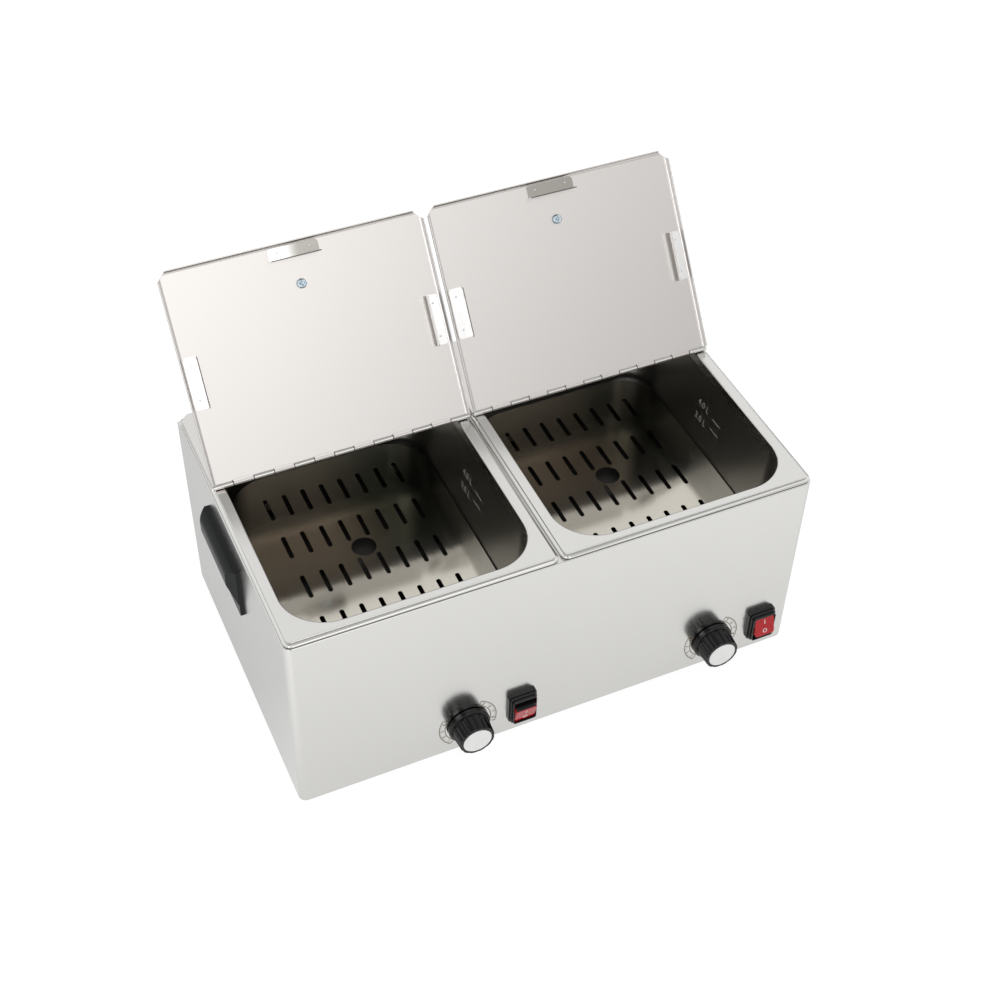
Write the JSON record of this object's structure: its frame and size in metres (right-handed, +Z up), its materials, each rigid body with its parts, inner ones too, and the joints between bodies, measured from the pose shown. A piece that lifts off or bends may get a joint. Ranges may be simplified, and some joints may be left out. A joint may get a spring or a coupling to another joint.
{
  "type": "sausage warmer",
  "caption": "Countertop sausage warmer: steel casing with side-by-side wells, lift-out slotted plates, hinged flap lids, temperature knobs, rocker switches and side grips.",
  "frame": {"origin": "on the floor below the centre of the casing, at the bottom of the feet", "axes": "+X to the right seen from the front, +Y to the back, +Z up"},
  "size_m": [0.5606, 0.3677, 0.4158],
  "materials": {
    "satin_steel": "satin brushed stainless sheet",
    "pan_steel": "drawn stainless, half bright",
    "plate_steel": "rolled stainless sheet",
    "lid_steel": "satin stainless sheet",
    "hinge_steel": "drawn stainless wire",
    "zinc_steel": "zinc plated, slightly blue",
    "black_plastic": "moulded, half gloss",
    "grip_plastic": "moulded, fine grain",
    "red_plastic": "translucent, glossy",
    "white_plastic": "pale silvery disc",
    "foot_rubber": "moulded rubber",
    "heater_metal": "cast",
    "inner_plastic": "moulded",
    "ceramic": "unglazed ceramic"
  },
  "bodies": {
    "base": {"casing": "satin_steel", "back_panel": "satin_steel", "back_screws": "zinc_steel", "base_plate": "satin_steel", "base_screws": "zinc_steel", "feet": "foot_rubber", "foot_screws": "zinc_steel", "left_handle": "grip_plastic", "right_handle": "grip_plastic", "handle_screws": "zinc_steel", "cable_gland": "inner_plastic", "gland_nut": "inner_plastic", "terminal_block": "ceramic", "terminal_screws": "zinc_steel", "left_pan": "pan_steel", "left_heater": "heater_metal", "left_heater_clamp": "zinc_steel", "left_clamp_nuts": "zinc_steel", "left_thermostat": "inner_plastic", "left_thermostat_screws": "zinc_steel", "left_switch": "black_plastic", "right_pan": "pan_steel", "right_heater": "heater_metal", "right_heater_clamp": "zinc_steel", "right_clamp_nuts": "zinc_steel", "right_thermostat": "inner_plastic", "right_thermostat_screws": "zinc_steel", "right_switch": "black_plastic"},
    "left_cover": {"left_cover": "lid_steel", "left_hinge_pin": "hinge_steel"},
    "left_lid": {"left_lid": "lid_steel", "left_lid_tabs": "lid_steel", "left_lid_screw": "zinc_steel", "left_lid_knob": "black_plastic"},
    "left_plate": {"left_plate": "plate_steel"},
    "left_control": {"left_thermostat_shaft": "zinc_steel", "left_knob": "black_plastic", "left_knob_cap": "white_plastic"},
    "left_rocker": {"left_rocker": "red_plastic"},
    "right_cover": {"right_cover": "lid_steel", "right_hinge_pin": "hinge_steel"},
    "right_lid": {"right_lid": "lid_steel", "right_lid_tabs": "lid_steel", "right_lid_screw": "zinc_steel", "right_lid_knob": "black_plastic"},
    "right_plate": {"right_plate": "plate_steel"},
    "right_control": {"right_thermostat_shaft": "zinc_steel", "right_knob": "black_plastic", "right_knob_cap": "white_plastic"},
    "right_rocker": {"right_rocker": "red_plastic"}
  },
  "joints": [
    {"name": "left_cover_lift", "type": "slide", "parent": "base", "child": "left_cover", "axis": [0, 0, 1], "range_m": [0, 0.12]},
    {"name": "left_lid_hinge", "type": "hinge", "parent": "left_cover", "child": "left_lid", "pos_m": [-0.13425, 0.0476, 0.244], "axis": [-1, 0, 0], "range_deg": [-125.6, 0]},
    {"name": "left_plate_lift", "type": "slide", "parent": "base", "child": "left_plate", "axis": [0, 0, 1], "range_m": [0, 0.07]},
    {"name": "left_knob_turn", "type": "hinge", "parent": "base", "child": "left_control", "pos_m": [-0.094, -0.1625, 0.0465], "axis": [0, 1, 0], "range_deg": [0, 270]},
    {"name": "left_rocker_tilt", "type": "hinge", "parent": "base", "child": "left_rocker", "pos_m": [-0.0365, -0.1605, 0.0475], "axis": [1, 0, 0], "range_deg": [-31, 0]},
    {"name": "right_cover_lift", "type": "slide", "parent": "base", "child": "right_cover", "axis": [0, 0, 1], "range_m": [0, 0.12]},
    {"name": "right_lid_hinge", "type": "hinge", "parent": "right_cover", "child": "right_lid", "pos_m": [0.13425, 0.0476, 0.244], "axis": [-1, 0, 0], "range_deg": [-125.6, 0]},
    {"name": "right_plate_lift", "type": "slide", "parent": "base", "child": "right_plate", "axis": [0, 0, 1], "range_m": [0, 0.07]},
    {"name": "right_knob_turn", "type": "hinge", "parent": "base", "child": "right_control", "pos_m": [0.178, -0.1625, 0.0465], "axis": [0, 1, 0], "range_deg": [0, 270]},
    {"name": "right_rocker_tilt", "type": "hinge", "parent": "base", "child": "right_rocker", "pos_m": [0.2355, -0.1605, 0.0475], "axis": [1, 0, 0], "range_deg": [0, 31]}
  ]
}
